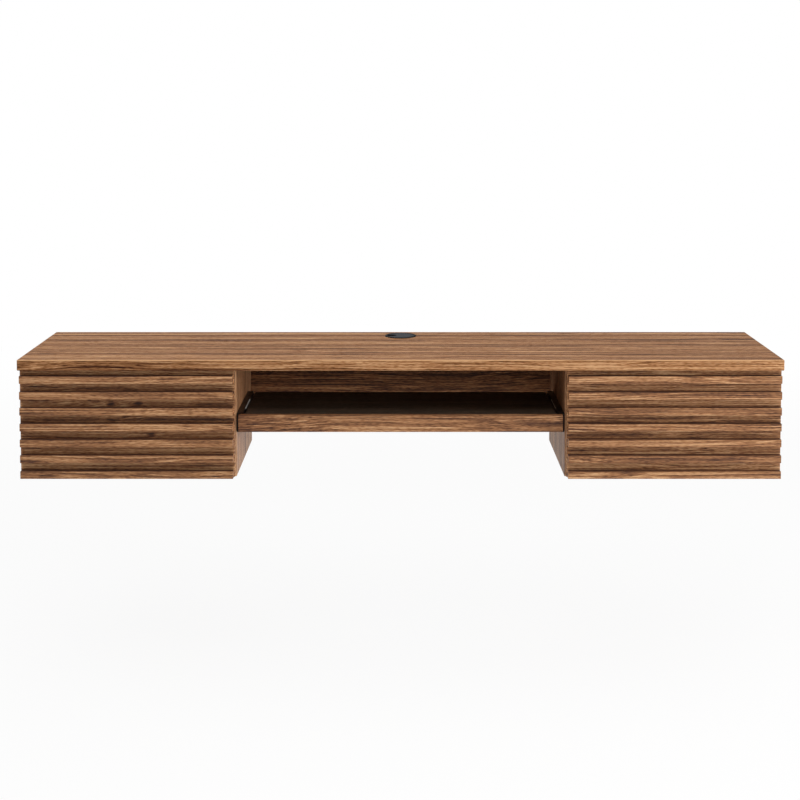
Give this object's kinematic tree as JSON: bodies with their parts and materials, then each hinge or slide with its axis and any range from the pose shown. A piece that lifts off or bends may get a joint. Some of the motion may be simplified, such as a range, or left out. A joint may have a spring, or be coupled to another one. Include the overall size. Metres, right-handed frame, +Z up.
{
  "type": "floating wall desk",
  "caption": "Wall-hung desk with a long desktop, slatted drawer pedestals, a pull-out keyboard tray on ball-bearing runners and a cable grommet.",
  "frame": {"origin": "centre of the four wall screws in the middle back panel, on the wall plane", "axes": "+X along the desk to the right, +Y into the wall, +Z up"},
  "size_m": [1.753, 0.394, 0.2806],
  "materials": {
    "walnut_laminate": "satin walnut-grain laminate",
    "dark_laminate": "satin dark-brown laminate",
    "black_steel": "black electro-coat",
    "zinc_steel": "zinc plated",
    "black_plastic": "moulded, fine texture",
    "clear_rubber": "clear, soft",
    "beech": "plain, fluted rod stock"
  },
  "bodies": {
    "carcass": {"cam_bolts": "zinc_steel", "carcass_dowels": "beech", "desktop": "walnut_laminate", "grommet_liner": "black_plastic", "left_cam_locks": "zinc_steel", "left_drawer_cabinet_runners": "black_steel", "left_inner_side": "walnut_laminate", "left_outer_side": "walnut_laminate", "left_pedestal_back": "walnut_laminate", "left_pedestal_bottom": "walnut_laminate", "middle_back": "walnut_laminate", "middle_cam_locks": "zinc_steel", "right_cam_locks": "zinc_steel", "right_drawer_cabinet_runners": "black_steel", "right_inner_side": "walnut_laminate", "right_outer_side": "walnut_laminate", "right_pedestal_back": "walnut_laminate", "right_pedestal_bottom": "walnut_laminate", "tray_cabinet_runners": "black_steel"},
    "left_drawer": {"left_drawer_back": "walnut_laminate", "left_drawer_bottom": "walnut_laminate", "left_drawer_bumpers": "clear_rubber", "left_drawer_dowels": "beech", "left_drawer_far_side": "walnut_laminate", "left_drawer_front": "walnut_laminate", "left_drawer_near_side": "walnut_laminate", "left_drawer_runners": "black_steel", "left_drawer_slats": "walnut_laminate"},
    "right_drawer": {"right_drawer_back": "walnut_laminate", "right_drawer_bottom": "walnut_laminate", "right_drawer_bumpers": "clear_rubber", "right_drawer_dowels": "beech", "right_drawer_far_side": "walnut_laminate", "right_drawer_front": "walnut_laminate", "right_drawer_near_side": "walnut_laminate", "right_drawer_runners": "black_steel", "right_drawer_slats": "walnut_laminate"},
    "tray": {"tray_dowels": "beech", "tray_front": "walnut_laminate", "tray_left_rail": "walnut_laminate", "tray_panel": "dark_laminate", "tray_rear_rail": "walnut_laminate", "tray_right_rail": "walnut_laminate", "tray_runners": "black_steel"},
    "left_runner_middle": {"left_drawer_ball_cages": "zinc_steel", "left_drawer_middle_runners": "black_steel"},
    "right_runner_middle": {"right_drawer_ball_cages": "zinc_steel", "right_drawer_middle_runners": "black_steel"},
    "tray_runner_middle": {"tray_ball_cages": "zinc_steel", "tray_middle_runners": "black_steel"},
    "grommet_cap": {"grommet_cap": "black_plastic"}
  },
  "joints": [
    {"name": "left_drawer_slide", "type": "slide", "parent": "carcass", "child": "left_drawer", "axis": [0, -1, 0], "range_m": [0, 0.27]},
    {"name": "left_runner_middle_slide", "type": "slide", "parent": "carcass", "child": "left_runner_middle", "axis": [0, -1, 0], "range_m": [0, 0.135]},
    {"name": "right_drawer_slide", "type": "slide", "parent": "carcass", "child": "right_drawer", "axis": [0, -1, 0], "range_m": [0, 0.27]},
    {"name": "right_runner_middle_slide", "type": "slide", "parent": "carcass", "child": "right_runner_middle", "axis": [0, -1, 0], "range_m": [0, 0.135]},
    {"name": "tray_slide", "type": "slide", "parent": "carcass", "child": "tray", "axis": [0, -1, 0], "range_m": [0, 0.22]},
    {"name": "tray_runner_middle_slide", "type": "slide", "parent": "carcass", "child": "tray_runner_middle", "axis": [0, -1, 0], "range_m": [0, 0.11]},
    {"name": "grommet_cap_turn", "type": "hinge", "parent": "carcass", "child": "grommet_cap", "pos_m": [0, -0.061, 0.11], "axis": [0, 0, 1], "continuous": true}
  ],
  "couplings": [
    {"joint": "left_runner_middle_slide", "follows": "left_drawer_slide", "ratio": 0.5},
    {"joint": "right_runner_middle_slide", "follows": "right_drawer_slide", "ratio": 0.5},
    {"joint": "tray_runner_middle_slide", "follows": "tray_slide", "ratio": 0.5}
  ]
}
